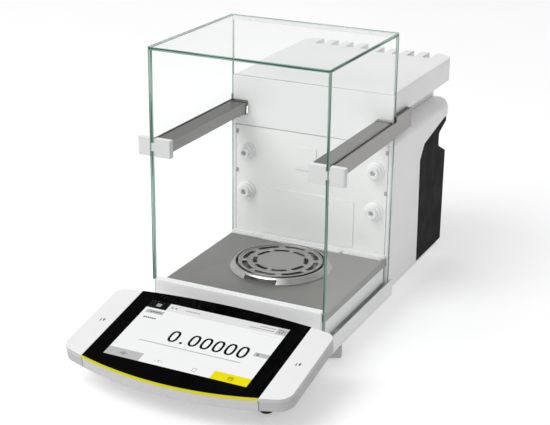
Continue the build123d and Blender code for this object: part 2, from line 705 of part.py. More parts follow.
# ================================================================== side doors
pane_front = front + glass + slide_gap
tail_back = shield_back + rail_tail
tail_top = rail_top + 5.4
pane_seat = 0.1             # clearance beside a pane in its rail
rail_sheet = 3.0
tail_chamfer = 2.0
cap_depth = 3.0
cap_edge = 0.6              # how far the end cap stands out past the shelf
tooth = 5.0
tooth_drop = 3.4
handle_round = 3.0
for side, sign in SIDES:
    with BuildPart() as upper_pane:
        block(beside(sign, inner, outer), (pane_front, shield_back), (pane_split_high, pane_top))
        chamfer(upper_pane.edges().filter_by(Axis.Z), 0.3)
    upper_pane.part.label = f"{side}_upper_pane"
    export_step(upper_pane.part, f"parts/{side}_upper_pane.step")

    with BuildPart() as lower_pane:
        block(beside(sign, inner, outer), (pane_front, shield_back),
              (sill_top - sill_rebate + rest_gap, pane_split_low))
        chamfer(lower_pane.edges().filter_by(Axis.Z), 0.3)
    lower_pane.part.label = f"{side}_lower_pane"
    export_step(lower_pane.part, f"parts/{side}_lower_pane.step")

    # rail: an inner shelf and an outer flange with a slot above and below for the panes
    with BuildPart() as rail:
        block(beside(sign, rail_inner, inner), (rail_front, rail_back), (rail_top - rail_shelf, rail_top))
        block(beside(sign, inner - pane_seat, outer + rail_lip), (rail_front, shield_back),
              (rail_flange_bottom, rail_top))
        block(beside(sign, inner - pane_seat, outer + rail_lip), (shield_back, tail_back),
              (rail_flange_bottom + 1.5, tail_top))
        block(beside(sign, rail_inner + rail_sheet, inner - rail_sheet), (rail_front - 1, rail_back + 1),
              (rail_top - rail_shelf - 1, rail_top - rail_sheet), mode=Mode.SUBTRACT)
        block(beside(sign, inner - 2 * pane_seat, outer + pane_seat), (rail_front - 1, shield_back),
              (pane_split_high, rail_top + 1), mode=Mode.SUBTRACT)
        block(beside(sign, inner - 2 * pane_seat, outer + pane_seat), (rail_front - 1, shield_back),
              (rail_flange_bottom - 1, pane_split_low), mode=Mode.SUBTRACT)
        chamfer(rail.edges().filter_by(Axis.X).group_by(Axis.Y)[-1].sort_by(Axis.Z)[-1], tail_chamfer)
    rail.part.label = f"{side}_door_rail"
    export_step(rail.part, f"parts/{side}_door_rail.step")

    with BuildPart() as end_cap:
        shelf_bottom = rail_top - rail_shelf
        block(beside(sign, rail_inner, inner - slide_gap), (rail_back, rail_back + cap_depth),
              (shelf_bottom - 2 * cap_edge, rail_top + cap_edge))
        # toothed foot inside the shelf
        with BuildSketch(Plane.YZ.offset(beside(sign, rail_inner + rail_sheet, inner - rail_sheet)[0])):
            with BuildLine():
                Polyline(
                    (rail_back, rail_top - rail_sheet), (rail_back, shelf_bottom - tooth_drop),
                    (rail_back - tooth, shelf_bottom), (rail_back - 1.4 * tooth, shelf_bottom - tooth_drop),
                    (rail_back - 2.4 * tooth, shelf_bottom), (rail_back - 2.4 * tooth, rail_top - rail_sheet),
                    close=True,
                )
            make_face()
        extrude(amount=inner - rail_inner - 2 * rail_sheet)
    end_cap.part.label = f"{side}_rail_end"
    export_step(end_cap.part, f"parts/{side}_rail_end.step")

    neck = (pane_split_low + 0.3, pane_split_high - 0.3)
    handle_z = (rail_flange_bottom, rail_top + 0.9)
    with BuildPart() as handle:
        block(beside(sign, rail_inner, inner - slide_gap), (pane_front, rail_front), handle_z)
        block(beside(sign, inner - slide_gap, outer + slide_gap), (pane_front, rail_front), neck)
        block(beside(sign, outer + slide_gap, outer + handle_reach), (pane_front, rail_front), handle_z)
        tip = handle.faces().sort_by(Axis.X)[-1 if sign > 0 else 0]
        fillet(tip.edges().filter_by(Axis.Z), handle_round)
    handle.part.label = f"{side}_door_handle"
    export_step(handle.part, f"parts/{side}_door_handle.step")

# ================================================================== display unit
tilt = radians(display_tilt)
display_y = front - display_reach + display_bow * cos(tilt)
display_plane = Plane(origin=(0, display_y, display_z), x_dir=(1, 0, 0), z_dir=(0, -sin(tilt), cos(tilt)))
upper_mid = display_glass_height + display_crown


def arc_height(x, middle, edge):
    """Height at x of the circular arc that passes middle at x = 0 and edge beside the glass."""
    radius = (display_glass_half ** 2 + (edge - middle) ** 2) / (2 * (edge - middle))
    return middle + radius - (radius / abs(radius)) * (radius ** 2 - x ** 2) ** 0.5


# outlines in the display's own plane: x across, y up the slope from the glass's lower corners
with BuildSketch() as unit_outline:
    with BuildLine():
        low_end = arc_height(display_half, -display_bow, -accent_width)
        high_end = arc_height(display_half, upper_mid, display_glass_height)
        low = ThreePointArc((-display_half, low_end), (0, -display_bow), (display_half, low_end))
        right = Line(low @ 1, (display_half, high_end))
        high = ThreePointArc(right @ 1, (0, upper_mid), (-display_half, high_end))
        Line(high @ 1, low @ 0)
    make_face()
    fillet(unit_outline.vertices().group_by(Axis.Y)[0], wing_corner_low)
    fillet(unit_outline.vertices().group_by(Axis.Y)[-1], wing_corner_high)

with BuildSketch() as glass_outline:
    add(unit_outline.sketch)
    Rectangle(2 * display_glass_half, 4 * display_glass_height, mode=Mode.INTERSECT)
    add(unit_outline.sketch.moved(Location((0, accent_width))), mode=Mode.INTERSECT)

with BuildSketch() as bar_outline:
    add(unit_outline.sketch)
    Rectangle(2 * display_glass_half, 4 * display_glass_height, mode=Mode.INTERSECT)
    add(unit_outline.sketch.moved(Location((0, bar_thickness))), mode=Mode.SUBTRACT)

with BuildSketch() as accent_outline:
    add(unit_outline.sketch)
    Rectangle(2 * display_glass_half, 4 * display_glass_height, mode=Mode.INTERSECT)
    add(unit_outline.sketch.moved(Location((0, accent_width))), mode=Mode.SUBTRACT)

lug_width = 16.0
lug_radius = 6.0
lug_x = 50.0
lug_top = (15.0, 17.6)      # height of the lug over the pin, at its front and back
lug_run = 2.0               # how much longer the lug is at its top
hinge_y = front + hinge_from_front
with BuildPart() as display_shell:
    with BuildSketch(display_plane.offset(-display_thickness)):
        add(unit_outline.sketch)
        add(bar_outline.sketch, mode=Mode.SUBTRACT)
    extrude(amount=display_thickness - wing_thickness)
    with BuildSketch(display_plane.offset(shell_floor - display_thickness)):
        add(glass_outline.sketch)
        offset(amount=-bar_thickness - 1, mode=Mode.REPLACE)
    extrude(amount=display_thickness, mode=Mode.SUBTRACT)
    # hinge lugs under the shell
    for centre in (-lug_x, lug_x):
        with BuildSketch(Plane.YZ.offset(centre - lug_width / 2)):
            with BuildLine():
                Polyline((hinge_y - lug_radius, hinge_z), (hinge_y - lug_radius, hinge_z + lug_top[0]),
                         (hinge_y + lug_radius + lug_run, hinge_z + lug_top[1]),
                         (hinge_y + lug_radius, hinge_z), close=True)
            make_face()
            with Locations((hinge_y, hinge_z)):
                Circle(lug_radius)
                Circle(hinge_pin_radius + hinge_clearance, mode=Mode.SUBTRACT)
        extrude(amount=lug_width)
display_shell.part.label = "display_shell"
export_step(display_shell.part, "parts/display_shell.step")

wing_gap = 0.2              # seam between a wing and the glass
for side, sign in SIDES:
    with BuildPart() as wing:
        with BuildSketch(display_plane.offset(-wing_thickness)):
            add(unit_outline.sketch)
            with Locations((sign * (display_glass_half + wing_gap - display_half), 0)):
                Rectangle(2 * display_half, 4 * display_glass_height, mode=Mode.SUBTRACT)
        extrude(amount=wing_thickness)
        wing_face = wing.faces().filter_by(display_plane).sort_by(Axis.Z)[-1]
        seam_edge = wing_face.edges().sort_by(Axis.X)[0 if sign > 0 else -1]
        fillet([edge for edge in wing_face.edges() if edge != seam_edge], wing_edge_round)
    wing.part.label = f"display_{side}_wing"
    export_step(wing.part, f"parts/display_{side}_wing.step")

with BuildPart() as front_bar:
    with BuildSketch(display_plane.offset(-display_thickness)):
        add(bar_outline.sketch)
        Rectangle(2 * (display_glass_half - bar_seam), 4 * display_glass_height, mode=Mode.INTERSECT)
    extrude(amount=display_thickness - accent_height)
front_bar.part.label = "display_front_bar"
export_step(front_bar.part, "parts/display_front_bar.step")

with BuildPart() as accent_strip:
    with BuildSketch(display_plane.offset(-accent_height)):
        add(accent_outline.sketch)
    extrude(amount=accent_height)
accent_strip.part.label = "accent_strip"
export_step(accent_strip.part, "parts/accent_strip.step")

with BuildPart() as display_glass:
    with BuildSketch(display_plane.offset(-display_glass_sheet)):
        add(glass_outline.sketch)
        add(bar_outline.sketch, mode=Mode.SUBTRACT)
    extrude(amount=display_glass_sheet)
    with BuildSketch(display_plane.offset(-accent_height)):
        add(glass_outline.sketch)
    extrude(amount=accent_height)
    with BuildSketch(display_plane):
        with Locations((0, screen_from_edge + screen_height / 2)):
            Rectangle(screen_width, screen_height)
    extrude(amount=-screen_recess, mode=Mode.SUBTRACT)
display_glass.part.label = "display_glass"
export_step(display_glass.part, "parts/display_glass.step")

with BuildPart() as screen:
    with BuildSketch(display_plane.offset(-screen_recess)):
        with Locations((0, screen_from_edge + screen_height / 2)):
            Rectangle(screen_width, screen_height)
    extrude(amount=screen_sheet)
screen.part.label = "screen"
export_step(screen.part, "parts/screen.step")

board = 1.6                 # thickness of every circuit board
board_depth = 8.4           # lower face of the display's board, under the display's top
board_centre = (0.0, 58.0)
board_size = (166.0, 92.0)
chip = 24.0
chip_spots = ((-40.0, 40.0), (35.0, 70.0))
part_size = (12.0, 8.0)
part_spots = ((10.0, 30.0), (60.0, 30.0), (-60.0, 80.0))
part_height = 1.8
post_radius = 3.0
post_spots = [(s * 70.0, y) for _, s in SIDES for y in (20.0, 96.0)]
with BuildPart() as display_board:
    with BuildSketch(display_plane.offset(-board_depth)):
        with Locations(board_centre):
            Rectangle(*board_size)
    extrude(amount=board)
    with BuildSketch(display_plane.offset(board - board_depth)):
        with Locations(*chip_spots):
            Rectangle(chip, chip)
        with Locations(*part_spots):
            Rectangle(*part_size)
    extrude(amount=part_height)
    with BuildSketch(display_plane.offset(shell_floor - display_thickness)):
        with Locations(*post_spots):
            Circle(post_radius)
    extrude(amount=display_thickness - shell_floor - board_depth)
display_board.part.label = "display_board"
export_step(display_board.part, "parts/display_board.step")

# bracket under the display: a plate on the base, two arms, and an ear each side of every lug
arm_x = 78.5
arm_half = 8.0
arm_front = front - 98.0
arm_back = front - 28.0
bracket_sheet = 6.0
bracket_low = 6.0
plate_low = base_bottom + 1
plate_high = plate_low + bracket_sheet
ear = 5.0
ear_radius = 5.0
ear_gap = 0.3
ear_foot = hinge_y - 8
with BuildPart() as display_bracket:
    block((-arm_x - arm_half, arm_x + arm_half), (front - 30, front), (plate_low, plate_high))
    for _, sign in SIDES:
        block(beside(sign, arm_x - arm_half, arm_x + arm_half), (arm_front, arm_back),
              (bracket_low, bracket_low + bracket_sheet))
        block(beside(sign, arm_x - arm_half, arm_x + arm_half), (arm_back - bracket_sheet, arm_back),
              (bracket_low, plate_high))
        for near in (lug_x - lug_width / 2 - ear_gap - ear, lug_x + lug_width / 2 + ear_gap):
            with BuildSketch(Plane.YZ.offset(beside(sign, near, near + ear)[0])):
                with BuildLine():
                    Polyline((hinge_y - ear_radius, hinge_z), (ear_foot, plate_low + 1),
                             (arm_back, plate_low + 1), (arm_back, plate_high),
                             (hinge_y + ear_radius, hinge_z), close=True)
                make_face()
                with Locations((hinge_y, hinge_z)):
                    Circle(ear_radius)
                    Circle(hinge_pin_radius, mode=Mode.SUBTRACT)
            extrude(amount=ear)
display_bracket.part.label = "display_bracket"
export_step(display_bracket.part, "parts/display_bracket.step")

bracket_foot_radius = 6.5
bracket_foot_y = front - 89.0
with BuildPart() as bracket_feet:
    with Locations([(s * arm_x, bracket_foot_y, 0) for _, s in SIDES]):
        Cylinder(bracket_foot_radius, bracket_low, align=(Align.CENTER, Align.CENTER, Align.MIN))
    chamfer(bracket_feet.edges().group_by(Axis.Z)[0], 0.8)
bracket_feet.part.label = "bracket_feet"
export_step(bracket_feet.part, "parts/bracket_feet.step")

with BuildPart() as hinge_pins:
    for centre in (-lug_x, lug_x):
        with BuildSketch(Plane.YZ.offset(centre - lug_width / 2 - ear_gap - ear)):
            with Locations((hinge_y, hinge_z)):
                Circle(hinge_pin_radius)
        extrude(amount=lug_width + 2 * (ear_gap + ear))
hinge_pins.part.label = "hinge_pins"
export_step(hinge_pins.part, "parts/hinge_pins.step")

# ================================================================== electronics and sockets
board_back = cover_back - plastic_wall - 10.4
main_half = 72.0
main_top = 124.0
# components: x and z of the centre, width and height
main_parts = ((-40, 95, 26, 26), (10, 100, 18, 18), (45, 90, 14, 22), (-5, 76, 30, 10))
main_part_depth = 2.2
socket_z = 50.0
with BuildPart() as main_board:
    block((-main_half, main_half), (board_back - board, board_back), (rear_rim_top + 0.5, main_top))
    for x, z, w, h in main_parts:
        block((x - w / 2, x + w / 2), (board_back - board - main_part_depth, board_back - board),
              (z - h / 2, z + h / 2))
main_board.part.label = "main_board"
export_step(main_board.part, "parts/main_board.step")

supply_z = shell_top + 4
supply_y = front + 225
supply_half = (60.0, 25.0)
supply_post_x = 50.0
supply_post_half = 4.0
# components: x of the centre, width and height
supply_parts = ((-30, 16, 12), (-8, 12, 14), (16, 20, 8))
supply_part_half = 12.0
with BuildPart() as supply_board:
    block((-supply_half[0], supply_half[0]), (supply_y - supply_half[1], supply_y + supply_half[1]),
          (supply_z, supply_z + board))
    for _, sign in SIDES:
        block(beside(sign, supply_post_x - supply_post_half, supply_post_x + supply_post_half),
              (supply_y - supply_post_half, supply_y + supply_post_half),
              (supply_z + board, housing_top - plastic_wall))
    for x, w, h in supply_parts:
        block((x - w / 2, x + w / 2), (supply_y - supply_part_half, supply_y + supply_part_half),
              (supply_z + board, supply_z + board + h))
supply_board.part.label = "supply_board"
export_step(supply_board.part, "parts/supply_board.step")

# sockets stand on the main board and reach the plate behind the window in the back cover
plate_back = cover_back - plastic_wall
plate = 1.5
socket_back = plate_back + 0.8
power_x, network_x, serial_x = -52.0, 8.0, 42.0
usb_x = (-32.0, -13.0)
power_radius = 5.0
power_bore = 3.2
power_pin = 1.05
usb_size = (14.0, 7.0)
usb_mouth = (12.4, 5.2)
usb_tongue = (10.8, 0.3, 1.9)       # width, then its lower and upper face over the middle
network_size = (16.0, 13.5)
network_mouth = (11.8, -3.2, 4.4)
network_latch = (6.4, -5.0, 0.0)
serial_size = (39.0, 12.5)
serial_ring = ((27.0, 8.0, 80.0), (23.5, 5.6, 80.0))
serial_depth = 2.5
mouth_floor = 2.0
cut = 0.2

with BuildPart() as socket_plate:
    block((-window_x, window_x), (plate_back - plate, plate_back), (window_z[0] - 3, window_z[1] + 3))
    with BuildSketch(Plane.XZ.offset(-plate_back)):
        with Locations((power_x, socket_z)):
            Circle(power_radius + cut)
        with Locations(*[(x, socket_z) for x in usb_x]):
            Rectangle(usb_size[0] + 2 * cut, usb_size[1] + 2 * cut)
        with Locations((network_x, socket_z)):
            Rectangle(network_size[0] + 2 * cut, network_size[1] + 2 * cut)
        with Locations((serial_x, socket_z)):
            Rectangle(serial_size[0] + 2 * cut, serial_size[1] + 2 * cut)
    extrude(amount=plate, mode=Mode.SUBTRACT)
socket_plate.part.label = "socket_plate"
export_step(socket_plate.part, "parts/socket_plate.step")

socket_face = Plane(origin=(0, socket_back, 0), x_dir=(1, 0, 0), z_dir=(0, -1, 0))
socket_depth = socket_back - board_back
with BuildPart() as power_socket:
    with BuildSketch(socket_face):
        with Locations((power_x, socket_z)):
            Circle(power_radius)
    extrude(amount=socket_depth)
    with BuildSketch(socket_face):
        with Locations((power_x, socket_z)):
            Circle(power_bore)
            Circle(power_pin, mode=Mode.SUBTRACT)
    extrude(amount=socket_depth - mouth_floor, mode=Mode.SUBTRACT)
power_socket.part.label = "power_socket"
export_step(power_socket.part, "parts/power_socket.step")

with BuildPart() as usb_sockets:
    for x in usb_x:
        block((x - usb_size[0] / 2, x + usb_size[0] / 2), (board_back, socket_back),
              (socket_z - usb_size[1] / 2, socket_z + usb_size[1] / 2))
        block((x - usb_mouth[0] / 2, x + usb_mouth[0] / 2), (board_back + mouth_floor, socket_back + 1),
              (socket_z - usb_mouth[1] / 2, socket_z + usb_mouth[1] / 2), mode=Mode.SUBTRACT)
        block((x - usb_tongue[0] / 2, x + usb_tongue[0] / 2), (board_back + 1, socket_back - 1.5),
              (socket_z + usb_tongue[1], socket_z + usb_tongue[2]))
usb_sockets.part.label = "usb_sockets"
export_step(usb_sockets.part, "parts/usb_sockets.step")

with BuildPart() as network_socket:
    block((network_x - network_size[0] / 2, network_x + network_size[0] / 2), (board_back, socket_back),
          (socket_z - network_size[1] / 2, socket_z + network_size[1] / 2))
    for width, low_z, high_z in (network_mouth, network_latch):
        block((network_x - width / 2, network_x + width / 2), (board_back + mouth_floor, socket_back + 1),
              (socket_z + low_z, socket_z + high_z), mode=Mode.SUBTRACT)
network_socket.part.label = "network_socket"
export_step(network_socket.part, "parts/network_socket.step")

with BuildPart() as serial_socket:
    block((serial_x - serial_size[0] / 2, serial_x + serial_size[0] / 2), (board_back, socket_back),
          (socket_z - serial_size[1] / 2, socket_z + serial_size[1] / 2))
    with BuildSketch(socket_face):
        with Locations((serial_x, socket_z)):
            Trapezoid(*serial_ring[0])
            Trapezoid(*serial_ring[1], mode=Mode.SUBTRACT)
    extrude(amount=serial_depth, mode=Mode.SUBTRACT)
serial_socket.part.label = "serial_socket"
export_step(serial_socket.part, "parts/serial_socket.step")

cover_screw_radius = 3.2
cover_screw_x = 82.0
cover_screw_z = (housing_bottom + 10, grip_low - 14)
cover_screw_height = 1.4
with BuildPart() as cover_screws:
    screw_spots = [(s * cover_screw_x, z) for _, s in SIDES for z in cover_screw_z]
    with BuildSketch(Plane.XZ.offset(-cover_back - cover_screw_height)):
        with Locations(*screw_spots):
            Circle(cover_screw_radius)
    extrude(amount=cover_screw_height)
    with BuildSketch(Plane.XZ.offset(-cover_back - cover_screw_height)):
        with Locations(*screw_spots):
            RegularPolygon(cover_screw_height, 6)
    extrude(amount=screw_recess_depth, mode=Mode.SUBTRACT)
cover_screws.part.label = "cover_screws"
export_step(cover_screws.part, "parts/cover_screws.step")
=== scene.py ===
"""Looks of the analytical balance: materials, the display's picture and marks, light and camera."""
from math import cos, pi, radians, sin

import bpy
from mathutils import Matrix, Vector


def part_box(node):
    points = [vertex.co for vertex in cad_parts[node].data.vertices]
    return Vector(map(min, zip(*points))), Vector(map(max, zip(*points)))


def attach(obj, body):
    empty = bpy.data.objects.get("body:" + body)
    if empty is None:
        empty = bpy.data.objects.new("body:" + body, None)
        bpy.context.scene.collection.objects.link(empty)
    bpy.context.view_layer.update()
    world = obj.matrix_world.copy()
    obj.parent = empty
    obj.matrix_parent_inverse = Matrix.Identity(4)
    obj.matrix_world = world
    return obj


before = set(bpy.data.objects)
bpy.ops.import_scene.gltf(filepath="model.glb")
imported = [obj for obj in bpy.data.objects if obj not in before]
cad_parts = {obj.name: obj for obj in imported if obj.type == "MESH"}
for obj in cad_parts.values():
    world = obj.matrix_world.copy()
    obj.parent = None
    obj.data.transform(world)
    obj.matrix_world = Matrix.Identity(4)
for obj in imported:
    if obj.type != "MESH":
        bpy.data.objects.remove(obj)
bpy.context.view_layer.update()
MM = 0.001


# ------------------------------------------------------------------ node helpers
STEEP = 0.7         # a face counts as upright where its normal's z is below this, for painted shade on upright faces


class Finish:
    """A material under construction: its node tree, its Principled shader and object coordinates."""

    def __init__(self, name, roughness=0.5, metallic=0.0, colour=(0.8, 0.8, 0.8)):
        self.material = bpy.data.materials.new(name)
        self.material.use_nodes = True
        self.tree = self.material.node_tree
        self.shader = self.tree.nodes["Principled BSDF"]
        self.output = self.tree.nodes["Material Output"]
        self.shader.inputs["Roughness"].default_value = roughness
        self.shader.inputs["Metallic"].default_value = metallic
        self.shader.inputs["Base Color"].default_value = (*colour, 1)
        self.place = self.node("ShaderNodeTexCoord").outputs["Object"]

    def node(self, kind, **values):
        """New node; values set its properties, and input sockets by their position."""
        new = self.tree.nodes.new(kind)
        for key, value in values.items():
            if key.startswith("in_"):
                socket = new.inputs[int(key[3:])]
                if isinstance(value, bpy.types.NodeSocket):
                    self.tree.links.new(value, socket)
                else:
                    socket.default_value = value
            else:
                setattr(new, key, value)
        return new

    def link(self, source, name):
        self.tree.links.new(source, self.shader.inputs[name])

    def noise(self, size, stretch=(1, 1, 1), detail=3.0):
        """Noise whose features are about size metres wide, drawn out by stretch along x, y, z."""
        mapping = self.node("ShaderNodeMapping", in_0=self.place)
        mapping.inputs["Scale"].default_value = [1 / (size * s) for s in stretch]
        noise = self.node("ShaderNodeTexNoise", in_0=mapping.outputs[0], in_2=1.0, in_3=detail)
        return noise.outputs[0]

    def spread(self, source, low, high, start=0.35, end=0.65):
        """Source's values from start to end, spread from low to high."""
        return self.node("ShaderNodeMapRange", in_0=source, in_1=start, in_2=end, in_3=low,
                         in_4=high).outputs[0]

    def blend(self, factor, first, second):
        """Colour between first and second."""
        mix = self.node("ShaderNodeMix", data_type="RGBA")
        self.tree.links.new(factor, mix.inputs[0])
        for socket, colour in ((mix.inputs[6], first), (mix.inputs[7], second)):
            if isinstance(colour, bpy.types.NodeSocket):
                self.tree.links.new(colour, socket)
            else:
                socket.default_value = (*colour, 1)
        return mix.outputs[2]

    def painted_face_shade(self, source, level, upright):
        """Source, scaled on level faces and on upright ones: painted shade, lighter or darker by how the
        faces meet the light.
        """
        normal = self.node("ShaderNodeTexCoord").outputs["Normal"]
        split = self.node("ShaderNodeSeparateXYZ", in_0=normal)
        stands = self.node("ShaderNodeMath", operation="LESS_THAN", in_0=split.outputs[2], in_1=STEEP)
        tone = self.blend(stands.outputs[0], (level,) * 3, (upright,) * 3)
        mix = self.node("ShaderNodeMix", data_type="RGBA", blend_type="MULTIPLY", in_0=1.0)
        self.tree.links.new(source, mix.inputs[6])
        self.tree.links.new(tone, mix.inputs[7])
        return mix.outputs[2]

    def bump(self, height, depth, strength=0.5, rounding=0.0):
        """Bump of the given depth in metres, with edges that look rounded by the given radius."""
        node = self.node("ShaderNodeBump", in_0=strength, in_1=depth)
        self.tree.links.new(height, node.inputs["Height"])
        if rounding:
            bevel = self.node("ShaderNodeBevel", samples=4, in_0=rounding)
            self.tree.links.new(bevel.outputs[0], node.inputs["Normal"])
        self.link(node.outputs[0], "Normal")


def scaled(colour, factor):
    return tuple(min(1.0, c * factor) for c in colour)


# ------------------------------------------------------------------ materials
# widths of the patches in which a finish varies, in metres
CLOUD = 0.09        # mottling of plastic and paint
GLOSS_PATCH = 0.02  # uneven gloss of plastic and paint
METAL_CLOUD = 0.06
GLOW_CLOUD = 0.05   # unevenness of a back light
SMEAR = 0.018       # finger smears on the cover glass
MOTTLE = 0.03       # how much darker plastic's darkest patches are
DRAWN_OUT = 60.0    # length of a brushing line or glass streak against its width


def moulded(name, colour, roughness, grain=0.0009, depth=0.00003, rounding=0.0006, gloss=0.5, side=1.0):
    """Moulded plastic or paint: fine grain, slight mottling, uneven gloss; side scales upright faces as
    painted shade.
    """
    f = Finish(name, roughness)
    f.shader.inputs["Specular IOR Level"].default_value = gloss
    tone = f.blend(f.spread(f.noise(CLOUD), 0, 1), scaled(colour, 1 - MOTTLE), colour)
    # painted shade: upright faces scaled by side
    f.link(f.painted_face_shade(tone, 1.0, side), "Base Color")
    f.link(f.spread(f.noise(GLOSS_PATCH), roughness - 0.05, roughness + 0.06), "Roughness")
    f.bump(f.noise(grain, detail=2.0), depth, rounding=rounding)
    return f.material


def brushed(name, colour, roughness, along, line=0.0005, depth=0.00002, face_shades=(1.0, 1.0)):
    """Brushed metal with fine lines along a numbered axis; the last argument scales its level and upright
    faces as painted shade.
    """
    stretch = [1.0, 1.0, 1.0]
    stretch[along] = DRAWN_OUT
    f = Finish(name, roughness, metallic=1.0)
    lines = f.noise(line, stretch, detail=4.0)
    cloud = f.spread(f.noise(METAL_CLOUD), 0, 1)
    streaky = f.blend(f.spread(lines, 0, 1), scaled(colour, 0.9), scaled(colour, 1.07))
    even = f.blend(cloud, streaky, colour)
    # painted shade on level and upright faces
    f.link(f.painted_face_shade(even, *face_shades), "Base Color")
    f.link(f.spread(lines, roughness - 0.05, roughness + 0.08), "Roughness")
    f.bump(lines, depth, strength=0.35, rounding=0.0004)
    return f.material


PANE_IOR = 1.16     # below real glass, so that the panes stay as faint as in the photograph
PANE_CLEAR = (0.992, 0.998, 0.995)
PANE_SHADOW = (0.985, 0.995, 0.99, 1)
EDGE_DARK, EDGE_LIGHT = (0.05, 0.15, 0.10), (0.42, 0.60, 0.52)
EDGE_STREAK = 0.0016


def pane_glass(name, thin_axis):
    """Float glass with green, streaky edges, where the normal isn't along the pane's thin axis."""
    f = Finish(name, roughness=0.0)
    f.shader.inputs["IOR"].default_value = PANE_IOR
    normal = f.node("ShaderNodeTexCoord").outputs["Normal"]
    split = f.node("ShaderNodeSeparateXYZ", in_0=normal)
    along = f.node("ShaderNodeMath", operation="ABSOLUTE", in_0=split.outputs[thin_axis])
    edge = f.node("ShaderNodeMath", operation="LESS_THAN", in_0=along.outputs[0], in_1=0.9).outputs[0]
    stretch = [DRAWN_OUT, DRAWN_OUT, DRAWN_OUT]
    stretch[thin_axis] = 1.0
    streaks = f.spread(f.noise(EDGE_STREAK, stretch, detail=1.0), 0, 1, 0.42, 0.58)
    green = f.blend(streaks, EDGE_DARK, EDGE_LIGHT)
    f.link(f.blend(edge, PANE_CLEAR, green), "Base Color")
    f.link(f.spread(edge, 1.0, 0.25, 0, 1), "Transmission Weight")
    f.link(f.spread(edge, 0.0, 0.12, 0, 1), "Roughness")
    path = f.node("ShaderNodeLightPath")
    clear = f.node("ShaderNodeBsdfTransparent", in_0=PANE_SHADOW)
    # shadow and diffuse rays pass straight through, so that the chamber is lit
    shadow = f.node("ShaderNodeMath", operation="MAXIMUM", in_0=path.outputs["Is Shadow Ray"],
                    in_1=path.outputs["Is Diffuse Ray"])
    mix = f.node("ShaderNodeMixShader", in_0=shadow.outputs[0])
    f.tree.links.new(f.shader.outputs[0], mix.inputs[1])
    f.tree.links.new(clear.outputs[0], mix.inputs[2])
    f.tree.links.new(mix.outputs[0], f.output.inputs["Surface"])
    return f.material


def gloss_black(name):
    """Black backed cover glass with faint finger smears in its gloss."""
    f = Finish(name, roughness=0.08)
    f.shader.inputs["Specular IOR Level"].default_value = 0.01
    f.link(f.blend(f.noise(0.03), (0.0008, 0.0008, 0.0009), (0.0018, 0.0018, 0.0020)), "Base Color")
    f.link(f.spread(f.noise(SMEAR, (1, 2.5, 1)), 0.05, 0.16, 0.3, 0.7), "Roughness")
    return f.material


def lit(name, colour, glow):
    """A lit area behind the display's glass, a little uneven as a back light is."""
    f = Finish(name, roughness=0.3)
    f.shader.inputs["Specular IOR Level"].default_value = 0.06
    tone = f.blend(f.spread(f.noise(GLOW_CLOUD), 0, 1), scaled(colour, 0.98), colour)
    f.link(f.blend(f.noise(GLOW_CLOUD), scaled(colour, 0.02), scaled(colour, 0.03)), "Base Color")
    f.link(tone, "Emission Color")
    f.shader.inputs["Emission Strength"].default_value = glow
    return f.material


def circuit(name):
    """Solder mask with brighter traces."""
    f = Finish(name, roughness=0.4)
    cells = f.node("ShaderNodeTexVoronoi", feature="DISTANCE_TO_EDGE")
    f.tree.links.new(f.place, cells.inputs["Vector"])
    cells.inputs["Scale"].default_value = 220
    trace = f.spread(cells.outputs[0], 1, 0, 0.02, 0.08)
    f.link(f.blend(trace, (0.012, 0.10, 0.045), (0.03, 0.2, 0.09)), "Base Color")
    f.bump(cells.outputs[0], 0.00005)
    return f.material


WHITE = (0.86, 0.86, 0.86)
white_plastic = moulded("white_plastic", WHITE, 0.38)
white_panel = moulded("white_panel", (0.88, 0.88, 0.875), 0.45)
grey_clip = moulded("grey_clip", (0.35, 0.35, 0.35), 0.5)
white_paint = moulded("white_paint", WHITE, 0.33, grain=0.0014, depth=0.00004, rounding=0.0008)
dark_cover = moulded("dark_cover", (0.009, 0.009, 0.010), 0.6, grain=0.0011, depth=0.00008,
                     rounding=0.001, gloss=0.05)
# grey copy of the white plastic: painted shade on the front bar and the foot knobs
bar_white_painted_shade = moulded("bar_white_painted_shade", (0.52, 0.52, 0.53), 0.4)
shell_grey = moulded("shell_grey", (0.44, 0.44, 0.44), 0.42)
# painted shade: upright faces of the wings and handles darker than their tops
wing_white = moulded("wing_white", WHITE, 0.38, side=0.58)
handle_white = moulded("handle_white", WHITE, 0.38, side=0.76)
# lighter copy of the white: painted light on the front cover, which lies in the display's shade
cover_white_painted_light = moulded("cover_white_painted_light", (0.96, 0.96, 0.96), 0.38)
# real dark trim, and also the painted shadow in the front bar's seams
dark_trim_and_seam_shadow = moulded("dark_trim_and_seam_shadow", (0.035, 0.034, 0.033), 0.45, rounding=0.0003)
rubber = moulded("rubber", (0.018, 0.018, 0.018), 0.75, grain=0.0012, depth=0.0001)
# painted shade: rail tops darker than their sides, the floor plate's upright faces darker than its top
rail_alloy = brushed("rail_alloy", (0.33, 0.32, 0.307), 0.36, along=1, line=0.0004, face_shades=(0.5, 0.95))
floor_steel = brushed("floor_steel", (0.30, 0.292, 0.282), 0.38, along=0, face_shades=(1.0, 0.68))
pan_steel = brushed("pan_steel", (0.42, 0.412, 0.40), 0.34, along=0, line=0.0003, depth=0.000006)
ring_steel = brushed("ring_steel", (0.52, 0.51, 0.495), 0.26, along=2, line=0.0003)
cell_alloy = brushed("cell_alloy", (0.62, 0.62, 0.62), 0.32, along=1)
plated = brushed("plated", (0.72, 0.72, 0.71), 0.22, along=2, line=0.0003)
black_glass = gloss_black("black_glass")
black_plastic = moulded("black_plastic", (0.015, 0.015, 0.015), 0.35)
board_green = circuit("board_green")
accent_yellow = lit("accent_yellow", (0.86, 0.80, 0.0), 0.75)
screen_white = lit("screen_white", (0.91, 0.915, 0.92), 0.96)

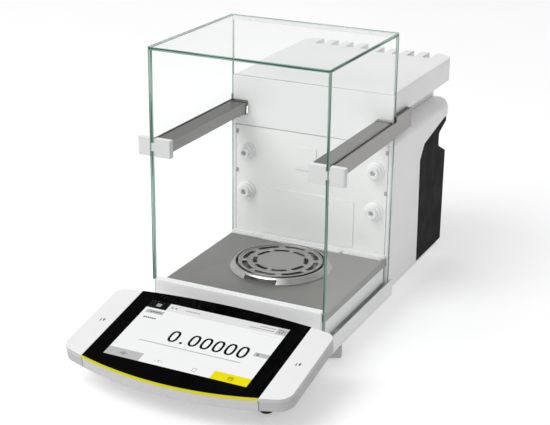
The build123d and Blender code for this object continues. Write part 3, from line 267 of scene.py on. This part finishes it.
finishes = {
    white_plastic: ["rear_shell", "top_housing", "rear_trims", "roof_guide", "port_plugs"],
    handle_white: ["left_door_handle", "right_door_handle"],
    cover_white_painted_light: ["front_cover"],
    wing_white: ["display_left_wing", "display_right_wing"],
    bar_white_painted_shade: ["display_front_bar", "left_foot_knob", "right_foot_knob"],
    shell_grey: ["display_shell"],
    grey_clip: ["panel_clips"],
    white_panel: ["back_panel"],
    white_paint: ["base_frame", "chamber_skirt"],
    dark_cover: ["back_cover", "socket_plate"],
    dark_trim_and_seam_shadow: ["left_rail_end", "right_rail_end", "display_bracket"],
    rubber: ["rear_feet", "bracket_feet"],
    rail_alloy: ["left_door_rail", "right_door_rail"],
    floor_steel: ["floor_plate"],
    pan_steel: ["pan", "pan_support"],
    ring_steel: ["draft_ring"],
    cell_alloy: ["load_cell", "load_arm", "cell_cover", "weight_lifter"],
    plated: ["adjustment_weight", "base_screws", "cover_screws", "hinge_pins", "network_socket",
             "serial_socket", "usb_sockets", "left_foot_pad", "right_foot_pad"],
    black_glass: ["display_glass"],
    black_plastic: ["lift_motor", "power_socket"],
    board_green: ["display_board", "main_board", "supply_board"],
    accent_yellow: ["accent_strip"],
    screen_white: ["screen"],
    pane_glass("side_glass", 0): ["left_upper_pane", "left_lower_pane", "right_upper_pane",
                                  "right_lower_pane"],
    pane_glass("end_glass", 1): ["front_glass", "rear_glass"],
    pane_glass("top_glass", 2): ["roof_glass"],
}


def dress(name, material):
    """Give a CAD node its material in every slot."""
    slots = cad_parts[name].data.materials
    if not slots:
        slots.append(material)
    for i in range(len(slots)):
        slots[i] = material


for material, names in finishes.items():
    for name in names:
        dress(name, material)
undressed = set(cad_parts) - {name for names in finishes.values() for name in names}
assert not undressed, undressed


# ------------------------------------------------------------------ the display's picture
# Places are millimetres from the middle of the screen: x to the right, y up its slope, z out of it.
def screen_place():
    """Matrix that takes those places to the scene."""
    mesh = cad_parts["screen"].data
    face = max((p for p in mesh.polygons if p.normal.z > 0.5), key=lambda p: p.area)
    out = face.normal.normalized()
    across = Vector((1, 0, 0))
    up = out.cross(across)
    reach = max(v.co.dot(out) for v in mesh.vertices)
    span = [v.co.dot(up) for v in mesh.vertices if v.co.dot(out) > reach - 0.0001]
    middle = up * (min(span) + max(span)) / 2 + out * reach
    return Matrix.Translation(middle) @ Matrix((across, up, out)).transposed().to_4x4()


on_screen = screen_place()
screen_low, screen_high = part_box("screen")
screen_half = (screen_high.x - screen_low.x) / 2 / MM
INK = 0.03          # thickness of a printed or lit mark
FIRST_LIFT = 0.005  # gap under the lowest marks
LAYER = INK + 0.004  # rise from one layer of marks to the next


def add_object(name, data):
    """New object in the scene that shows the data."""
    new = bpy.data.objects.new(name, data)
    bpy.context.scene.collection.objects.link(new)
    return new


def flat_piece(name, outlines, material, z=0.0):
    """Thin piece on the display from closed outlines, each a list of points; z is its lift."""
    curve = bpy.data.curves.new(name, "CURVE")
    curve.dimensions = "2D"
    curve.fill_mode = "BOTH"
    curve.extrude = INK * MM / 2
    for outline in outlines:
        spline = curve.splines.new("POLY")
        spline.points.add(len(outline) - 1)
        for point, (x, y) in zip(spline.points, outline):
            point.co = (x * MM, y * MM, 0, 1)
        spline.use_cyclic_u = True
    curve.materials.append(material)
    shape = add_object(name + "_curve", curve)
    evaluated = shape.evaluated_get(bpy.context.evaluated_depsgraph_get())
    mesh = bpy.data.meshes.new_from_object(evaluated)
    bpy.data.objects.remove(shape)
    bpy.data.curves.remove(curve)
    mesh.name = name
    piece = add_object(name, mesh)
    piece.matrix_world = on_screen @ Matrix.Translation((0, 0, (z + INK / 2) * MM))
    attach(piece, "display")


def rectangle(x0, y0, x1, y1):
    return [(x0, y0), (x1, y0), (x1, y1), (x0, y1)]


def centred(x, y, half_width, half_height):
    return rectangle(x - half_width, y - half_height, x + half_width, y + half_height)


def dashes(x, y, width, height, pitch, count):
    """Row of small marks that stand for letters, from the first one's lower left corner."""
    return [rectangle(x + pitch * i, y, x + pitch * i + width, y + height) for i in range(count)]


def oval(x, y, half_width, half_height, power=2.0, steps=40):
    """Points of a superellipse: a power of 2 is an ellipse, and more is squarer."""
    points = []
    for i in range(steps):
        a = 2 * pi * i / steps
        c, s = cos(a), sin(a)
        points.append((x + half_width * abs(c) ** (2 / power) * (1 if c >= 0 else -1),
                       y + half_height * abs(s) ** (2 / power) * (1 if s >= 0 else -1)))
    return points


def rim(x, y, half_width, half_height, line):
    """Outline and hole of a rectangular frame."""
    return [centred(x, y, half_width, half_height), centred(x, y, half_width - line, half_height - line)]


def picture(name, outlines, material, layer=0):
    """Marks of the picture; a higher layer lies over a lower one."""
    flat_piece(name, outlines, material, z=FIRST_LIFT + layer * LAYER)


screen_top = 46.65
edge = screen_half - 0.05       # the picture ends just inside the screen's edges
top_edge = screen_top - 0.1
band = 12.0                     # height of the header and of the row of buttons
column = screen_half / 2        # width of a button of the lower row
work_half = 54.3                # half the width of the area between the side columns
thin = 0.5                      # line of the outlined icons
grey = lit("screen_grey", (0.52, 0.52, 0.52), 0.96)
pale = lit("screen_pale", (0.78, 0.78, 0.78), 0.96)
dark = lit("screen_dark", (0.012, 0.012, 0.014), 0.0)
faint = lit("screen_faint", (0.35, 0.35, 0.35), 0.9)
button_yellow = lit("screen_yellow", (0.86, 0.76, 0.0), 0.96)


def header():
    """Band along the top with the menu button at its left and the exit button at its right."""
    band_low = top_edge - band
    menu_lines = [rectangle(-67.5, y, -62.3, y + 0.7) for y in (38.6, 40.3, 42.0)]
    exit_x, exit_y = 69.6, 40.7
    arrow = rectangle(exit_x + 2.3, exit_y - 0.3, exit_x + 4.8, exit_y + 0.3)
    picture("screen_header", [rectangle(-edge, band_low, edge, top_edge)], pale)
    picture("screen_menu_button", [rectangle(-edge, band_low, -work_half, top_edge)], dark, 1)
    picture("screen_menu_lines", menu_lines, pale, 2)
    picture("screen_exit_button", [rectangle(64.6, 36.0, edge, 45.4)], grey, 1)
    picture("screen_exit_mark", rim(exit_x, exit_y, 2.0, 2.4, thin) + [arrow], dark, 2)


def captions():
    """Rows of small marks where the photograph has words, and the unit beside the reading."""
    picture("screen_small_button", [rectangle(-72.6, 26.0, -53.2, 31.8)], grey)
    picture("screen_small_marks", dashes(-68, 28.2, 1.4, 1.4, pitch=2.2, count=6), dark, 1)
    title = dashes(-51.0, 39.6, 2.4, 2.6, pitch=4.4, count=2)
    title += dashes(-34.4, 40.0, 1.8, 1.7, pitch=2.7, count=6)
    picture("screen_title_marks", title, faint, 1)
    state = dashes(46.6, 42.0, 1.8, 1.4, pitch=2.4, count=7)
    state += dashes(37.0, 38.0, 1.8, 1.4, pitch=2.4, count=11)
    picture("screen_state_marks", state, faint, 1)
    picture("screen_range_marks", dashes(42.4, 30.4, 1.7, 1.2, pitch=2.6, count=12), pale)
    picture("screen_label_marks", dashes(-70.2, 17.9, 1.7, 1.8, pitch=2.4, count=6), dark)
    picture("screen_divider", [rectangle(-work_half, -16.8, work_half, -15.4)], grey)
    unit_x, unit_y = 64.2, 0.6
    picture("screen_unit_box", [rectangle(60.6, unit_y - 3.0, edge, unit_y + 3.0)], grey)
    picture("screen_unit_mark", [oval(unit_x, unit_y, 1.3, 1.5), oval(unit_x, unit_y, 0.7, 0.9)], dark, 1)


def reading():
    """The reading: a zero, a point and five more zeros."""
    digit_y = -0.7
    first_x, point_x, next_x = -24.2, -13.5, -2.2
    pitch = 12.9
    outlines = []
    for x in [first_x] + [next_x + pitch * i for i in range(5)]:
        outlines += [oval(x, digit_y, 5.2, 8.9, power=2.6), oval(x, digit_y, 2.7, 6.6, power=2.4)]
    picture("screen_digits", outlines + [oval(point_x, -8.0, 1.5, 1.5, power=3.0)], dark)


def buttons():
    """Row along the lower edge: zero, tare, page and print."""
    y = band / 2 - screen_top
    row_top = band - top_edge
    zero_x, tare_x, page_x, print_x = -1.5 * column, -0.5 * column, 0.5 * column, 1.5 * column
    dash_high = 0.3
    zero = [oval(zero_x, y, 1.5, 2.0), oval(zero_x, y, 0.9, 1.4)]
    zero += [centred(zero_x + shift, y, 1.0, dash_high) for shift in (-3.2, 3.2)]
    tare = [centred(tare_x, y + 1.5, 2.0, dash_high), centred(tare_x, y - 0.4, 0.3, 1.6)]
    tare += [centred(tare_x + shift, y, 0.8, dash_high) for shift in (-3.6, 3.6)]
    sheet = rim(print_x, y, 2.4, 2.4, thin)
    for low, high in ((-0.2, 0.3), (0.9, 1.3)):
        sheet.append(rectangle(print_x - 1.2, y + low, print_x + 1.2, y + high))
    picture("screen_zero_button", [rectangle(-edge, -top_edge, -column, row_top)], grey)
    picture("screen_zero_icon", zero, dark, 1)
    picture("screen_tare_icon", tare, faint)
    picture("screen_page_icon", rim(page_x, y, 2.2, 2.6, thin), faint)
    picture("screen_yellow_button", [rectangle(column, -top_edge, edge, row_top)], button_yellow)
    picture("screen_print_icon", sheet, dark, 1)


header()
captions()
reading()
buttons()


# ------------------------------------------------------------------ marks around the screen, and painted shadow in the bar's seams
SIDES = (("left", -1), ("right", 1))


def wing_marks():
    """An arrow down and an arrow up on each wing, over the touch-free sensors."""
    printed = moulded("printed_mark", (0.05, 0.05, 0.05), 0.5, rounding=0.0)
    wing_low, wing_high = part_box("display_right_wing")
    sensor_x = wing_low.x / MM + 12.4
    wing_rise = 0.1                 # the wings' face stands this far over the screen's
    shaft_half, shaft_reach = 0.4, 1.7
    head_half, head_low, head_high = 1.2, 1.3, 2.8
    for side, sign in SIDES:
        marks = []
        for shift, way in ((-1.6, -1), (1.6, 1)):
            x = sign * sensor_x + shift
            base_y, tip_y = head_low * way, head_high * way
            marks.append(centred(x, 0, shaft_half, shaft_reach))
            marks.append([(x - head_half, base_y), (x, tip_y), (x + head_half, base_y)])
        flat_piece(f"{side}_sensor_mark", marks, printed, z=wing_rise + 0.002)


def seam_shadow_strips():
    """Dark sheet in the open seam at each end of the front bar: painted shadow for the shade in the gap.
    """
    inner, outer = 92.75, 93.45
    near, far = -58.25, -57.0       # along y
    bottom, top = -13.2, -2.6       # along z
    sides = [(3, 2, 1, 0), (4, 5, 6, 7), (0, 1, 5, 4), (1, 2, 6, 5), (2, 3, 7, 6), (3, 0, 4, 7)]
    for side, sign in SIDES:
        x0, x1 = sorted((sign * inner, sign * outer))
        corners = []
        for z in (bottom, top):
            corners += [(x * MM, y * MM, z * MM) for x, y in rectangle(x0, near, x1, far)]
        mesh = bpy.data.meshes.new(f"{side}_bar_seam_shadow")
        mesh.from_pydata(corners, [], sides)
        mesh.materials.append(dark_trim_and_seam_shadow)
        piece = add_object(f"{side}_bar_seam_shadow", mesh)
        piece.matrix_world = on_screen
        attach(piece, "display")


wing_marks()
seam_shadow_strips()


# ------------------------------------------------------------------ floor, light and camera
def floor():
    """Plain pale floor that glows a little, as an evenly lit paper backdrop does."""
    half = 8.0
    mesh = bpy.data.meshes.new("floor")
    mesh.from_pydata([(x, y, 0) for x, y in rectangle(-half, -half, half, half)], [], [(0, 1, 2, 3)])
    piece = add_object("floor", mesh)
    f = Finish("floor_paper", roughness=0.6)
    f.shader.inputs["Specular IOR Level"].default_value = 0.1
    f.link(f.blend(f.spread(f.noise(0.4), 0, 1), (0.74, 0.74, 0.74), (0.76, 0.76, 0.76)), "Base Color")
    f.shader.inputs["Emission Color"].default_value = (1, 1, 1, 1)
    f.shader.inputs["Emission Strength"].default_value = 0.36
    mesh.materials.append(f.material)


def soft_light(name, place, target, side, power):
    """Large square soft box that points from place at target."""
    light = bpy.data.lights.new(name, "AREA")
    light.shape = "RECTANGLE"
    light.size = side
    light.size_y = side
    light.energy = power
    lamp = add_object(name, light)
    lamp.location = place
    lamp.rotation_euler = (Vector(target) - Vector(place)).to_track_quat("-Z", "Y").to_euler()


def sky(front, right, back, left, top):
    """White surroundings whose brightness differs by direction, as with large soft boxes around."""
    world = bpy.data.worlds.new("studio")
    bpy.context.scene.world = world
    world.use_nodes = True
    tree = world.node_tree

    def math(operation, *values):
        node = tree.nodes.new("ShaderNodeMath")
        node.operation = operation
        for socket, value in zip(node.inputs, values):
            if isinstance(value, bpy.types.NodeSocket):
                tree.links.new(value, socket)
            else:
                socket.default_value = value
        return node.outputs[0]

    way = tree.nodes.new("ShaderNodeSeparateXYZ")
    tree.links.new(tree.nodes.new("ShaderNodeTexCoord").outputs["Generated"], way.inputs[0])
    total = 0.0
    for axis, sign, value in ((1, -1, front), (0, 1, right), (1, 1, back), (0, -1, left), (2, 1, top)):
        share = math("MAXIMUM", math("MULTIPLY", way.outputs[axis], sign), 0.0)
        total = math("ADD", total, math("MULTIPLY", math("POWER", share, 2.0), value))
    background = tree.nodes["Background"]
    background.inputs["Color"].default_value = (1, 1, 1, 1)
    tree.links.new(total, background.inputs["Strength"])


def camera():
    """Camera at the photograph's viewing angle: ahead of the balance, to its right and above."""
    place = Vector((0.55238, -1.17214, 0.60062))
    azimuth, elevation, roll = radians(25.67), radians(20.44), radians(0.685)
    ahead = Vector((-sin(azimuth) * cos(elevation), cos(azimuth) * cos(elevation), -sin(elevation)))
    right = Vector((cos(azimuth), sin(azimuth), 0))
    up = right.cross(ahead)
    right, up = (right * cos(roll) + up * sin(roll), up * cos(roll) - right * sin(roll))
    data = bpy.data.cameras.new("camera")
    data.lens = 85.94
    data.sensor_width = 36.0
    data.clip_end = 50
    eye = add_object("camera", data)
    eye.matrix_world = Matrix.Translation(place) @ Matrix((right, up, -ahead)).transposed().to_4x4()
    bpy.context.scene.camera = eye


floor()
sky(front=0.55, right=0.08, back=0.85, left=0.7, top=0.68)
soft_light("key", place=(-1.1, -1.9, 2.7), target=(0, 0, 0.1), side=2.2, power=62)
camera()
bpy.context.scene.view_settings.view_transform = "Standard"
